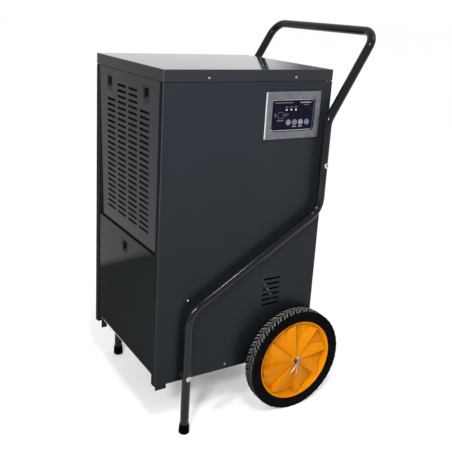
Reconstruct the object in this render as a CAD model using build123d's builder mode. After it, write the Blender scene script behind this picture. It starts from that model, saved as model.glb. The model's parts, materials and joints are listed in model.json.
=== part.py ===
from build123d import *

import os
from math import atan2, cos, degrees, pi, radians, sin

# A commercial dehumidifier: a folded sheet-steel cabinet carried by one bent tube
# (front legs, side rails and push handle) and two wheels on a through axle.
# Millimetres. Z = 0 is the floor, X = 0 the plane of symmetry of the chassis,
# -Y the intake side, +X the control-panel side, +Y the handle and wheel side.

# Cabinet
cabinet_width = 430
cabinet_depth = 500
cabinet_bottom = 150
cabinet_top = 970
cabinet_y = -67
front_y = cabinet_y - cabinet_depth / 2
rear_y = cabinet_y + cabinet_depth / 2
side_x = cabinet_width / 2
sheet = 1.2
bend_radius = 1.6
flange_width = 20
flange_return = 12
skirt_height = 29
seam = 1.5
skirt_bottom = cabinet_top - skirt_height

# Trolley frame
tube_diameter = 24
tube_wall = 1.5
tube_x = 233.6
leg_y = -232
leg_knee_z = 350
rail_y = 164
rail_foot_z = 587
rail_top_z = 835
handle_y = -front_y - tube_diameter / 2
handle_z = 1072
knee_radius = 70
elbow_radius = 60
corner_radius = 45
foot_floor = 6
lower_bolt_z = 167
upper_bolt_z = 715

# Wheels
wheel_radius = 150
rim_radius = 120
axle_y = 106
axle_z = wheel_radius
axle_radius = 6
axle_half_length = 280
hub_bore = axle_radius + 0.08
tyre_inner_x = 229
tyre_outer_x = 268
split_pin_x = 274

# Front panels
panel_gap = 0.8
panel_half_width = side_x - flange_width - panel_gap
grille_top_z = 939.5
grille_bottom_z = 508
grille_top_recess = 1.5
grille_bottom_recess = 9
lower_top_z = 504.5
lower_bottom_z = 174
lower_recess = 3.5
slot_length = 58
slot_height = 6.6
slot_pitch_x = 72.3
slot_pitch_z = 15.3
slot_top_z = 901
slot_rows = 24
short_rows = 21

# Latches
latch_width = 36
latch_height = 43
latch_travel = 6
latch_x = 119
latch_z = 900
lower_latch_z = 464.5
latch_depth = 11

# Control panel
bezel_y = 58.5
bezel_z = 853
bezel_width = 171
bezel_height = 123
bezel_depth = 6
window_width = 137.5
window_height = 84
fascia_front = side_x + 1.5
fascia_back = side_x - 1.9
button_radius = 7.7
button_z = 834
button_pitch = 19.8
first_button_y = 45.6
button_names = ("power_button", "mode_button", "up_button", "down_button")
lamp_radius = 2.4
lamp_z = 867
lamp_pitch = 14.8
first_lamp_y = 37.9
display_y = 20.4
display_z = 852.8
display_size = (12.6, 13.2)

# Inside
deck_z = 497
pan_z = 158
pan_front = -304
pan_rim = 25
coil_half_width = 165
coil_bottom = 526
coil_top = 906
fan_y = -130
fan_z = 720
fan_radius = 153
fan_hub_radius = 34
fan_blades = 5
shaft_radius = 5
shroud_y = -150
compressor_x = 85
compressor_y = 40
compressor_radius = 62
compressor_height = 235
compressor_foot_z = 176

both_sides = ((-1, "left"), (1, "right"))

os.makedirs("parts", exist_ok=True)


def write(part, name):
    """Label a finished piece and write it as its own STEP file."""
    part.label = name
    export_step(part, f"parts/{name}.step")


def side_plane(side, distance):
    """The YZ plane at a distance from the middle; extrude by side * length goes outwards."""
    return Plane.YZ.offset(side * distance)


def grille_recess(z):
    """How far the sloping grille panel's face lies behind the flanges at height z."""
    share = (grille_top_z - z) / (grille_top_z - grille_bottom_z)
    return grille_top_recess + share * (grille_bottom_recess - grille_top_recess)


# ---------------------------------------------------------------- cabinet shell

axle_notch_width = 14
axle_notch_top = axle_z + axle_radius + 1
side_screws = ((-227, 378), (-103, 164.5), (53, 164.5))
lid_screw_z = 950.5
lid_screw_ys = (-196, 62)
lip_thickness = 1.4
lip_bottom = 925
lip_joggle = 930
lip_step = 938
lip_top = 960
screw_radius = 2
screw_head_radius = 3.2
vent_y = 35
vent_bottom_z = 320
vent_count = 6
vent_pitch = 15.2
vent_length = 57
vent_height = 5.5
vent_zs = [vent_bottom_z + vent_pitch * row for row in range(vent_count)]
bolt_radius = 4
frame_bolts_at = ((leg_y, lower_bolt_z), (rail_y, upper_bolt_z))

for side, word in both_sides:
    wall_x = side * (side_x - sheet / 2)
    flange_x = side * (side_x - flange_width + sheet / 2)
    with BuildPart() as side_panel:
        with BuildSketch(Plane.XY.offset(cabinet_bottom)):
            with BuildLine():
                FilletPolyline(
                    (flange_x, front_y + flange_return),
                    (flange_x, front_y + sheet / 2),
                    (wall_x, front_y + sheet / 2),
                    (wall_x, rear_y - sheet / 2),
                    (flange_x, rear_y - sheet / 2),
                    radius=bend_radius,
                )
            trace(line_width=sheet)
        extrude(amount=skirt_bottom - seam - cabinet_bottom)
        # Inner lip that the top cover's skirt screws to, joggled inwards behind the seam
        for step, low, high in ((0, lip_bottom, lip_step), (1, lip_joggle, lip_top)):
            lip_x = side * (side_x - sheet - lip_thickness * (step + 0.5))
            with BuildSketch(Plane.XY.offset(low)):
                with Locations((lip_x, cabinet_y)):
                    Rectangle(lip_thickness, cabinet_depth - 40)
            extrude(amount=high - low)
        # Compressor vents, in both sides
        with BuildSketch(side_plane(side, side_x + 1)):
            with Locations(*[(vent_y, z) for z in vent_zs]):
                SlotOverall(vent_length, vent_height)
        extrude(amount=-side * 6, mode=Mode.SUBTRACT)
        # Screw and bolt holes
        with BuildSketch(side_plane(side, side_x + 1)):
            with Locations(*side_screws, *[(y, lid_screw_z) for y in lid_screw_ys]):
                Circle(screw_radius + 0.1)
            with Locations(*frame_bolts_at):
                Circle(bolt_radius + 0.3)
        extrude(amount=-side * 6, mode=Mode.SUBTRACT)
        # Notch over the axle
        with BuildSketch(side_plane(side, side_x + 1)):
            with Locations((axle_y, cabinet_bottom)):
                Rectangle(axle_notch_width, 2 * (axle_notch_top - cabinet_bottom))
        extrude(amount=-side * 6, mode=Mode.SUBTRACT)
        if side > 0:
            # Opening behind the control fascia
            with BuildSketch(side_plane(side, side_x + 1)):
                with Locations((bezel_y, bezel_z)):
                    RectangleRounded(window_width, window_height, 8)
            extrude(amount=-side * 6, mode=Mode.SUBTRACT)
    write(side_panel.part, f"{word}_side_panel")

with BuildPart() as top_cover:
    with BuildSketch(Plane.XY.offset(skirt_bottom)):
        with Locations((0, cabinet_y)):
            RectangleRounded(cabinet_width, cabinet_depth, bend_radius + sheet / 2)
    extrude(amount=skirt_height)
    fillet(top_cover.faces().sort_by(Axis.Z)[-1].edges(), radius=bend_radius)
    offset(amount=-sheet, openings=top_cover.faces().sort_by(Axis.Z)[0])
    with BuildSketch(Plane.YZ):
        with Locations(*[(y, lid_screw_z) for y in lid_screw_ys]):
            Circle(screw_radius + 0.1)
    extrude(amount=side_x + 1, both=True, mode=Mode.SUBTRACT)
write(top_cover.part, "top_cover")

# The rear panel lies inside the rear flanges; its slots are the air outlet.
rear_plate_y = rear_y - sheet - 0.2
outlet_rows = 21
outlet_z = 735
gland_x = -140
gland_z = 230
gland_thread_radius = 8

with BuildPart() as rear_panel:
    with BuildSketch(Plane.XZ.offset(-rear_plate_y)):
        with Locations((0, (cabinet_bottom + skirt_bottom) / 2)):
            Rectangle(2 * (side_x - 4), skirt_bottom - cabinet_bottom - 6)
        with Locations((0, outlet_z)):
            with GridLocations(slot_pitch_x, slot_pitch_z, 4, outlet_rows):
                SlotOverall(slot_length, slot_height, mode=Mode.SUBTRACT)
        with Locations((gland_x, gland_z)):
            Circle(gland_thread_radius + 0.2, mode=Mode.SUBTRACT)
    extrude(amount=sheet)
write(rear_panel.part, "rear_panel")

pan_half_width = side_x - sheet - 0.3
pan_depth = rear_plate_y - sheet - 0.3 - pan_front
pan_centre_y = pan_front + pan_depth / 2

with BuildPart() as base_pan:
    with BuildSketch(Plane.XY.offset(pan_z)):
        with Locations((0, pan_centre_y)):
            RectangleRounded(2 * pan_half_width, pan_depth, 3)
    extrude(amount=pan_rim)
    offset(amount=-1.5, openings=base_pan.faces().sort_by(Axis.Z)[-1])
    # Skids that carry the water tank over the front rim
    with BuildSketch(Plane.XY.offset(pan_z + 1)):
        with Locations((-100, -222), (100, -222)):
            Rectangle(14, 144)
    extrude(amount=pan_rim + 0.6)
    with BuildSketch(Plane.YZ):
        with Locations((leg_y, lower_bolt_z)):
            Circle(bolt_radius + 0.3)
        with Locations(*[(y, z) for y, z in side_screws if z < pan_z + pan_rim]):
            Circle(screw_radius + 0.1)
    extrude(amount=side_x, both=True, mode=Mode.SUBTRACT)
write(base_pan.part, "base_pan")

# Deck between the air path and the machinery compartment
drain_y = -240
discharge_riser = (185, -60)
suction_riser = (200, -90)
liquid_riser = (185, -120)
capillary_riser = (200, -140)
riser_hole = 8

with BuildPart() as mid_deck:
    with BuildSketch(Plane.XY.offset(deck_z)):
        with Locations((0, -55)):
            Rectangle(2 * (side_x - 2), 468)
        with Locations((0, drain_y)):
            Circle(9, mode=Mode.SUBTRACT)
        with Locations(discharge_riser, suction_riser, liquid_riser, capillary_riser):
            Circle(riser_hole, mode=Mode.SUBTRACT)
    extrude(amount=1.5)
write(mid_deck.part, "mid_deck")

with BuildPart() as front_cross_rail:
    with BuildSketch(Plane.YZ):
        with BuildLine():
            FilletPolyline(
                (-277, deck_z + 20),
                (-288, deck_z + 20),
                (-288, deck_z + 2.2),
                (-277, deck_z + 2.2),
                radius=bend_radius,
            )
        trace(line_width=sheet)
    extrude(amount=side_x - 3, both=True)
write(front_cross_rail.part, "front_cross_rail")

# Tabs under the corners of the base pan: the right front one is the longer
foot_web_x = 196
foot_bottom = 124.5
front_tab_y = -304.6
rear_tab_y = 171.5
tabs = (
    (-1, front_tab_y, 17.5),
    (1, front_tab_y, 32),
    (-1, rear_tab_y - 17.5, 17.5),
    (1, rear_tab_y - 17.5, 17.5),
)

with BuildPart() as corner_feet:
    for side, start_y, length in tabs:
        with BuildSketch(Plane.XZ.offset(-start_y)):
            with BuildLine():
                FilletPolyline(
                    (side * foot_web_x, foot_bottom),
                    (side * foot_web_x, pan_z - sheet / 2),
                    (side * (foot_web_x - 22), pan_z - sheet / 2),
                    radius=bend_radius,
                )
            trace(line_width=sheet)
        extrude(amount=-length)
write(corner_feet.part, "corner_feet")

with BuildPart() as cabinet_screws:
    for side, word in both_sides:
        places = [*side_screws, *[(y, lid_screw_z) for y in lid_screw_ys]]
        with BuildSketch(side_plane(side, side_x)):
            with Locations(*places):
                Circle(screw_head_radius)
        extrude(amount=side * 1.8)
        with BuildSketch(side_plane(side, side_x)):
            with Locations(*places):
                Circle(screw_radius)
        extrude(amount=-side * 8)
    with BuildSketch(Plane.XZ.offset(-rear_y)):
        with Locations((0, 550)):
            with GridLocations(2 * (side_x - 10), 360, 2, 3):
                Circle(screw_head_radius)
    extrude(amount=-1.8)
write(cabinet_screws.part, "cabinet_screws")

# ---------------------------------------------------------------- trolley frame

right_half = (
    (tube_x, leg_y, foot_floor),
    (tube_x, leg_y, leg_knee_z),
    (tube_x, rail_y, rail_foot_z),
    (tube_x, rail_y, rail_top_z),
    (tube_x, handle_y, handle_z),
)
left_half = [(-x, y, z) for x, y, z in reversed(right_half)]
right_radii = (knee_radius, elbow_radius, elbow_radius, corner_radius)

with BuildPart() as push_frame:
    with BuildLine() as route:
        FilletPolyline(*right_half, *left_half, radius=(*right_radii, *reversed(right_radii)))
    with BuildSketch(Plane(origin=right_half[0], z_dir=(0, 0, 1))):
        Circle(tube_diameter / 2)
        Circle(tube_diameter / 2 - tube_wall, mode=Mode.SUBTRACT)
    sweep()
    with BuildSketch(Plane.YZ):
        with Locations(*frame_bolts_at):
            Circle(bolt_radius + 0.2)
    extrude(amount=axle_half_length, both=True, mode=Mode.SUBTRACT)
write(push_frame.part, "push_frame")

foot_top = 27
foot_base_radius = 14.6
foot_top_radius = 13.9

for side, word in both_sides:
    with BuildPart() as leg_foot:
        with BuildSketch(Plane(origin=(side * tube_x, leg_y, 0), x_dir=(1, 0, 0), z_dir=(0, -1, 0))):
            with BuildLine():
                Polyline(
                    (0, 0),
                    (foot_base_radius - 1.5, 0),
                    (foot_base_radius, 1.5),
                    (foot_base_radius, foot_floor),
                    (foot_top_radius, foot_top),
                    (tube_diameter / 2 + 0.1, foot_top),
                    (tube_diameter / 2 + 0.1, foot_floor),
                    (0, foot_floor),
                    close=True,
                )
            make_face()
        revolve(axis=Axis((side * tube_x, leg_y, 0), (0, 0, 1)))
    write(leg_foot.part, f"{word}_leg_foot")

spacer_radius = 11
tube_inner_face = tube_x - tube_diameter / 2

with BuildPart() as frame_spacers:
    for side, word in both_sides:
        with BuildSketch(side_plane(side, side_x)):
            with Locations(*frame_bolts_at):
                Circle(spacer_radius)
                Circle(bolt_radius + 0.2, mode=Mode.SUBTRACT)
        extrude(amount=side * (tube_inner_face - side_x + 2.5))
        # Each spacer is saddled to the round of the tube
        with BuildSketch(Plane.XY.offset(0)):
            with Locations((side * tube_x, leg_y), (side * tube_x, rail_y)):
                Circle(tube_diameter / 2 + 0.1)
        extrude(amount=cabinet_top, mode=Mode.SUBTRACT)
write(frame_spacers.part, "frame_spacers")

bolt_head_radius = 6.4
bolt_head_height = 4.5
nut_radius = 7.5

with BuildPart() as frame_bolts:
    for side, word in both_sides:
        with BuildSketch(side_plane(side, 200)):
            with Locations(*frame_bolts_at):
                Circle(bolt_radius)
        extrude(amount=side * (tube_x + tube_diameter / 2 - 200))
        with BuildSketch(side_plane(side, tube_x + tube_diameter / 2)):
            with Locations(*frame_bolts_at):
                Circle(bolt_head_radius)
        extrude(amount=side * bolt_head_height)
        with BuildSketch(side_plane(side, 203)):
            with Locations(*frame_bolts_at):
                RegularPolygon(nut_radius, 6)
        extrude(amount=side * 6.5)
    chamfer(
        frame_bolts.edges().filter_by(GeomType.CIRCLE).filter_by(
            lambda e: abs(e.center().X) > tube_x + tube_diameter / 2 + bolt_head_height - 0.01
        ),
        length=1.5,
    )
write(frame_bolts.part, "frame_bolts")

# ---------------------------------------------------------------- axle and wheels

with BuildPart() as axle:
    with BuildSketch(Plane.YZ):
        with Locations((axle_y, axle_z)):
            Circle(axle_radius)
    extrude(amount=axle_half_length, both=True)
    chamfer(axle.edges().filter_by(GeomType.CIRCLE), length=1)
    # Cross holes for the split pins
    with BuildSketch(Plane.XY.offset(axle_z)):
        with Locations((split_pin_x, axle_y), (-split_pin_x, axle_y)):
            Circle(1.7)
    extrude(amount=20, both=True, mode=Mode.SUBTRACT)
write(axle.part, "axle")

bracket_x = 196
with BuildPart() as axle_brackets:
    for side, word in both_sides:
        with BuildSketch(side_plane(side, bracket_x - 12)):
            with Locations((axle_y, pan_z - 9.5)):
                RectangleRounded(34, 19, 3)
            with Locations((axle_y, axle_z)):
                Circle(axle_radius + 0.05, mode=Mode.SUBTRACT)
        extrude(amount=side * 24)
write(axle_brackets.part, "axle_brackets")

with BuildPart() as wheel_washers:
    for side, word in both_sides:
        for start, thickness, washer_radius in ((226.4, 2, 12), (tyre_outer_x + 0.6, 1.6, 8.5)):
            with BuildSketch(side_plane(side, start)):
                with Locations((axle_y, axle_z)):
                    Circle(washer_radius)
                    Circle(axle_radius + 0.2, mode=Mode.SUBTRACT)
            extrude(amount=side * thickness)
write(wheel_washers.part, "wheel_washers")

with BuildPart() as axle_sleeves:
    for side, word in both_sides:
        with BuildSketch(side_plane(side, side_x + 0.4)):
            with Locations((axle_y, axle_z)):
                Circle(9)
                Circle(axle_radius + 0.1, mode=Mode.SUBTRACT)
        extrude(amount=side * 10.8)
write(axle_sleeves.part, "axle_sleeves")

pin_wire = 1.5
pin_eye_radius = 4
pin_leg_length = 30
pin_leg_spread = radians(42)

with BuildPart() as split_pins:
    for side, word in both_sides:
        pin_x = side * split_pin_x
        eye_z = axle_z + axle_radius + pin_eye_radius + pin_wire + 0.3
        leg_z = axle_z - axle_radius - 1.5
        with BuildSketch(Plane.XY.offset(leg_z)):
            with Locations((pin_x, axle_y)):
                Circle(pin_wire)
        extrude(amount=eye_z - pin_eye_radius - leg_z)
        with BuildSketch(Plane.XY.offset(leg_z)):
            with Locations((pin_x, axle_y)):
                Circle(pin_wire)
        extrude(amount=-2)
        with BuildSketch(Plane(origin=(pin_x, axle_y, eye_z), x_dir=(1, 0, 0), z_dir=(0, 0, 1))):
            with Locations((0, pin_eye_radius)):
                Circle(pin_wire)
        revolve(axis=Axis((pin_x, axle_y, eye_z), (1, 0, 0)))
        for lean in (0, -pin_leg_spread):
            direction = (0, sin(lean), -cos(lean))
            with BuildSketch(Plane(origin=(pin_x, axle_y, leg_z), x_dir=(1, 0, 0), z_dir=direction)):
                Circle(pin_wire - 0.3)
            extrude(amount=pin_leg_length)
write(split_pins.part, "split_pins")

wheel_middle_x = (tyre_inner_x + tyre_outer_x) / 2
half_tyre = (tyre_outer_x - tyre_inner_x) / 2
barrel_radius = 112
rim_lip_x = half_tyre - 2.5
blade_count = 8
blade_phase = 5
tyre_shoulder = 2.5

for side, word in both_sides:
    # Profile plane: local x runs outwards along the axle, local y is the radius
    wheel_plane = Plane(
        origin=(side * wheel_middle_x, axle_y, axle_z), x_dir=(side, 0, 0), z_dir=(0, -side, 0)
    )
    wheel_axis = Axis((0, axle_y, axle_z), (1, 0, 0))

    with BuildPart() as wheel_hub:
        with BuildSketch(wheel_plane):
            with BuildLine():
                Polyline(
                    (-half_tyre, hub_bore),
                    (half_tyre, hub_bore),
                    (half_tyre, 15),
                    (half_tyre - 4, 17),
                    (half_tyre - 14, barrel_radius - 8),
                    (half_tyre - 4, barrel_radius - 3),
                    (rim_lip_x, rim_radius - 2),
                    (rim_lip_x, rim_radius),
                    (rim_lip_x - 3.5, rim_radius),
                    (rim_lip_x - 5, barrel_radius),
                    (5 - rim_lip_x, barrel_radius),
                    (3.5 - rim_lip_x, rim_radius),
                    (-rim_lip_x, rim_radius),
                    (-rim_lip_x, rim_radius - 2),
                    (4 - half_tyre, barrel_radius - 3),
                    (half_tyre - 18, barrel_radius - 8),
                    (half_tyre - 9, 17),
                    (-half_tyre, 14),
                    close=True,
                )
            make_face()
        revolve(axis=wheel_axis)
        # Pinwheel blades stand on the outer face of the dished web
        for blade in range(blade_count):
            angle = radians(blade_phase) + 2 * pi * blade / blade_count
            blade_plane = Plane(
                origin=(side * (tyre_outer_x - 15), axle_y, axle_z),
                x_dir=(0, cos(angle), sin(angle)),
                z_dir=(side, 0, 0),
            )
            with BuildSketch(blade_plane):
                with BuildLine():
                    Polyline((16, 0), (106, 0), (103, 22), (37, 33), (16, 9), close=True)
                make_face()
            extrude(amount=9)
    write(wheel_hub.part, f"{word}_wheel_hub")

    with BuildPart() as tyre:
        with BuildSketch(wheel_plane):
            with BuildLine():
                Polyline(
                    (5.1 - rim_lip_x, barrel_radius + 0.2),
                    (rim_lip_x - 5.1, barrel_radius + 0.2),
                    (rim_lip_x - 3.7, rim_radius + 0.2),
                    (rim_lip_x, rim_radius + 0.2),
                    (half_tyre, 127),
                    (half_tyre, wheel_radius - tyre_shoulder),
                    (half_tyre - tyre_shoulder, wheel_radius),
                    (tyre_shoulder - half_tyre, wheel_radius),
                    (-half_tyre, wheel_radius - tyre_shoulder),
                    (-half_tyre, 127),
                    (-rim_lip_x, rim_radius + 0.2),
                    (3.7 - rim_lip_x, rim_radius + 0.2),
                    close=True,
                )
            make_face()
        revolve(axis=wheel_axis)
    write(tyre.part, f"{word}_tyre")

# ---------------------------------------------------------------- front panels

# The grille panel slopes in by a few millimetres towards its foot, behind the lower panel's edge.
grille_height = grille_top_z - grille_bottom_z
grille_slope = atan2(grille_bottom_recess - grille_top_recess, grille_height)
grille_plane = Plane(
    origin=(0, front_y + grille_top_recess, grille_top_z),
    x_dir=(1, 0, 0),
    z_dir=(0, -cos(grille_slope), -sin(grille_slope)),
)
panel_return = 9
first_slot = slot_top_z - grille_top_z
latches = (
    ("left_latch", -latch_x, front_y + grille_recess(latch_z), latch_z),
    ("right_latch", latch_x, front_y + grille_recess(latch_z), latch_z),
    ("lower_latch", 0, front_y + lower_recess, lower_latch_z),
)
cut_out = (latch_width + 0.8, latch_height + 0.8)

with BuildPart() as front_grille_panel:
    with BuildSketch(grille_plane):
        with Locations((0, -grille_height / 2)):
            Rectangle(2 * panel_half_width, grille_height)
    extrude(amount=-panel_return)
    # Folded edges on three sides, the top edge is plain
    with BuildSketch(grille_plane.offset(-sheet)):
        Rectangle(2 * (panel_half_width - sheet), 2 * (grille_height - sheet))
    extrude(amount=-panel_return, mode=Mode.SUBTRACT)
    with BuildSketch(grille_plane.offset(1)):
        for column in range(4):
            rows = slot_rows if column in (1, 2) else short_rows
            middle = first_slot - slot_pitch_z * (slot_rows - (rows + 1) / 2)
            with Locations(((column - 1.5) * slot_pitch_x, middle)):
                with GridLocations(slot_pitch_x, slot_pitch_z, 1, rows):
                    SlotOverall(slot_length, slot_height)
        with Locations((-latch_x, latch_z - grille_top_z), (latch_x, latch_z - grille_top_z)):
            Rectangle(*cut_out)
    extrude(amount=-4, mode=Mode.SUBTRACT)
write(front_grille_panel.part, "front_grille_panel")

lower_height = lower_top_z - lower_bottom_z
lower_plane = Plane(
    origin=(0, front_y + lower_recess, lower_top_z), x_dir=(1, 0, 0), z_dir=(0, -1, 0)
)

with BuildPart() as front_lower_panel:
    with BuildSketch(lower_plane):
        with Locations((0, -lower_height / 2)):
            Rectangle(2 * panel_half_width, lower_height)
    extrude(amount=-panel_return)
    with BuildSketch(lower_plane.offset(-sheet)):
        with Locations((0, -lower_height / 2)):
            Rectangle(2 * (panel_half_width - sheet), lower_height - 2 * sheet)
    extrude(amount=-panel_return, mode=Mode.SUBTRACT)
    with BuildSketch(lower_plane.offset(1)):
        with Locations((0, lower_latch_z - lower_top_z)):
            Rectangle(*cut_out)
    extrude(amount=-4, mode=Mode.SUBTRACT)
write(front_lower_panel.part, "front_lower_panel")

# Each latch: a cup let into the panel, flush with its face and open in one window, and
# behind the window a slider with a finger hole and a tongue
cup_wall = 2
slider_height = latch_height - 2 * cup_wall - latch_travel - 1
slider_width = latch_width - 2 * cup_wall - 1
slider_thickness = 2.5
slider_inset = 1.7
lip_plate = 1.5
finger_window = (29, 28)
finger_window_rise = 2
finger_hole = (25, 22)
finger_hole_rise = 4
tongue_width = 12
tongue_thickness = 2
tongue_length = 19

for name, x, y, z in latches:
    cup_plane = Plane(origin=(x, y + 0.2, z), x_dir=(1, 0, 0), z_dir=(0, -1, 0))
    slider_top = latch_height / 2 - cup_wall - 0.5
    with BuildPart() as latch_cup:
        with BuildSketch(cup_plane):
            RectangleRounded(latch_width, latch_height, 1.5)
        extrude(amount=-latch_depth)
        with BuildSketch(cup_plane.offset(-lip_plate)):
            RectangleRounded(latch_width - 2 * cup_wall, latch_height - 2 * cup_wall, 1)
        extrude(amount=-(latch_depth - 2 * lip_plate), mode=Mode.SUBTRACT)
        with BuildSketch(cup_plane.offset(1)):
            with Locations((0, finger_window_rise)):
                RectangleRounded(*finger_window, 1.5)
        extrude(amount=-1 - lip_plate - 0.1, mode=Mode.SUBTRACT)
        with BuildSketch(cup_plane.offset(-2.2)):
            Rectangle(latch_width + 8, latch_height + 8)
            Rectangle(latch_width, latch_height, mode=Mode.SUBTRACT)
        extrude(amount=-1.5)
        # Way out for the tongue
        with BuildSketch(cup_plane.offset(-lip_plate)):
            with Locations((0, latch_height / 2)):
                Rectangle(tongue_width + 1, 12)
        extrude(amount=-(tongue_thickness + 0.8), mode=Mode.SUBTRACT)
    write(latch_cup.part, f"{name}_cup")

    with BuildPart() as latch_slider:
        with BuildSketch(cup_plane.offset(-slider_inset)):
            with Locations((0, slider_top - slider_height / 2)):
                RectangleRounded(slider_width, slider_height, 1)
            with Locations((0, finger_hole_rise)):
                RectangleRounded(*finger_hole, 1.5, mode=Mode.SUBTRACT)
        extrude(amount=-slider_thickness)
        with BuildSketch(cup_plane.offset(-slider_inset)):
            with Locations((0, slider_top + tongue_length / 2 - 1)):
                Rectangle(tongue_width, tongue_length + 2)
        extrude(amount=-tongue_thickness)
    write(latch_slider.part, f"{name}_slider")

filter_half_width = 178
filter_bottom = 530
filter_top = 918
filter_y = -303.5

with BuildPart() as air_filter:
    with BuildSketch(Plane.XZ.offset(-filter_y)):
        with Locations((0, (filter_top + filter_bottom) / 2)):
            RectangleRounded(2 * filter_half_width, filter_top - filter_bottom, 4)
            for column in range(3):
                with Locations(((column - 1) * 118, 0)):
                    RectangleRounded(110, filter_top - filter_bottom - 16, 3, mode=Mode.SUBTRACT)
    extrude(amount=-6)
    # The mesh, as one thin sheet across the frame's openings
    with BuildSketch(Plane.XZ.offset(-filter_y - 2.5)):
        with Locations((0, (filter_top + filter_bottom) / 2)):
            Rectangle(2 * filter_half_width - 4, filter_top - filter_bottom - 4)
    extrude(amount=-0.8)
    # Room for the two latch cups
    with BuildSketch(Plane.XZ.offset(-filter_y + 1)):
        with Locations((-latch_x, latch_z), (latch_x, latch_z)):
            Rectangle(latch_width + 12, latch_height + 12)
    extrude(amount=-12, mode=Mode.SUBTRACT)
write(air_filter.part, "air_filter")

# ---------------------------------------------------------------- control panel

with BuildPart() as control_bezel:
    with BuildSketch(side_plane(1, side_x)):
        with Locations((bezel_y, bezel_z)):
            RectangleRounded(bezel_width, bezel_height, 1.5)
    extrude(amount=bezel_depth)
    chamfer(control_bezel.faces().sort_by(Axis.X)[-1].edges(), length=0.6)
    with BuildSketch(side_plane(1, side_x)):
        with Locations((bezel_y, bezel_z)):
            RectangleRounded(window_width, window_height, 8)
    extrude(amount=bezel_depth, mode=Mode.SUBTRACT)
write(control_bezel.part, "control_bezel")

button_ys = [first_button_y + button_pitch * place for place in range(len(button_names))]
lamp_ys = [first_lamp_y + lamp_pitch * place for place in range(3)]

with BuildPart() as control_fascia:
    with BuildSketch(side_plane(1, fascia_back)):
        with Locations((bezel_y, bezel_z)):
            RectangleRounded(window_width - 0.8, window_height - 0.8, 7.6)
        with Locations(*[(y, button_z) for y in button_ys]):
            Circle(button_radius + 0.4, mode=Mode.SUBTRACT)
        with Locations(*[(y, lamp_z) for y in lamp_ys]):
            Circle(lamp_radius + 0.1, mode=Mode.SUBTRACT)
        with Locations((display_y, display_z)):
            Rectangle(display_size[0] + 0.2, display_size[1] + 0.2, mode=Mode.SUBTRACT)
    extrude(amount=fascia_front - fascia_back)
write(control_fascia.part, "control_fascia")

with BuildPart() as display_window:
    with BuildSketch(side_plane(1, fascia_back)):
        with Locations((display_y, display_z)):
            Rectangle(*display_size)
    extrude(amount=fascia_front - fascia_back + 0.2)
write(display_window.part, "display_window")

with BuildPart() as indicator_lamps:
    with BuildSketch(side_plane(1, fascia_back)):
        with Locations(*[(y, lamp_z) for y in lamp_ys]):
            Circle(lamp_radius)
    extrude(amount=fascia_front - fascia_back + 1.4)
    fillet(indicator_lamps.faces().filter_by(Plane.YZ).group_by(Axis.X)[-1].edges(), radius=1.2)
write(indicator_lamps.part, "indicator_lamps")

board_front = side_x - 5
button_back = board_front + 3
button_front = fascia_front + 1.8

for name, y in zip(button_names, button_ys):
    with BuildPart() as button:
        with BuildSketch(side_plane(1, button_back)):
            with Locations((y, button_z)):
                Circle(button_radius)
        extrude(amount=button_front - button_back)
        fillet(button.faces().filter_by(Plane.YZ).sort_by(Axis.X)[-1].edges(), radius=1)
    write(button.part, name)

box_width = 156
box_height = 100
box_back = 165
box_front = side_x - sheet - 0.2

with BuildPart() as control_box:
    with BuildSketch(side_plane(1, box_back)):
        with Locations((bezel_y, bezel_z)):
            RectangleRounded(box_width, box_height, 4)
    extrude(amount=box_front - box_back)
    offset(amount=-2, openings=control_box.faces().sort_by(Axis.X)[-1])
write(control_box.part, "control_box")

with BuildPart() as control_board:
    with BuildSketch(side_plane(1, board_front - 1.6)):
        with Locations((bezel_y, bezel_z)):
            Rectangle(box_width - 10, box_height - 10)
    extrude(amount=1.6)
    # Push switches under the buttons
    with BuildSketch(side_plane(1, board_front)):
        with Locations(*[(y, button_z) for y in button_ys]):
            Rectangle(6, 6)
    extrude(amount=1.4)
write(control_board.part, "control_board")

# ---------------------------------------------------------------- air path

tray_half_width = 188
tray_front = -274
tray_depth = 98
tray_z = deck_z + 3

with BuildPart() as drip_tray:
    with BuildSketch(Plane.XY.offset(tray_z)):
        with Locations((0, tray_front + tray_depth / 2)):
            RectangleRounded(2 * tray_half_width, tray_depth, 5)
    extrude(amount=20)
    offset(amount=-1.5, openings=drip_tray.faces().sort_by(Axis.Z)[-1])
    # Spout through the deck, over the water tank
    with BuildSketch(Plane.XY.offset(tray_z + 1)):
        with Locations((0, drain_y)):
            Circle(8)
    extrude(amount=-30)
    with BuildSketch(Plane.XY.offset(tray_z + 2)):
        with Locations((0, drain_y)):
            Circle(6)
    extrude(amount=-34, mode=Mode.SUBTRACT)
write(drip_tray.part, "drip_tray")

coil_depth = 40
fin_count = 24
fin_pitch = 14
tube_rows = 8
tube_pitch = 46
coil_tube_radius = 4.8
coil_end_x = coil_half_width + 3
coil_middle_z = (coil_top + coil_bottom) / 2
coil_tube_zs = [coil_middle_z + tube_pitch * (row - (tube_rows - 1) / 2) for row in range(tube_rows)]
coils = (("evaporator", -250), ("condenser", -200))

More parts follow.
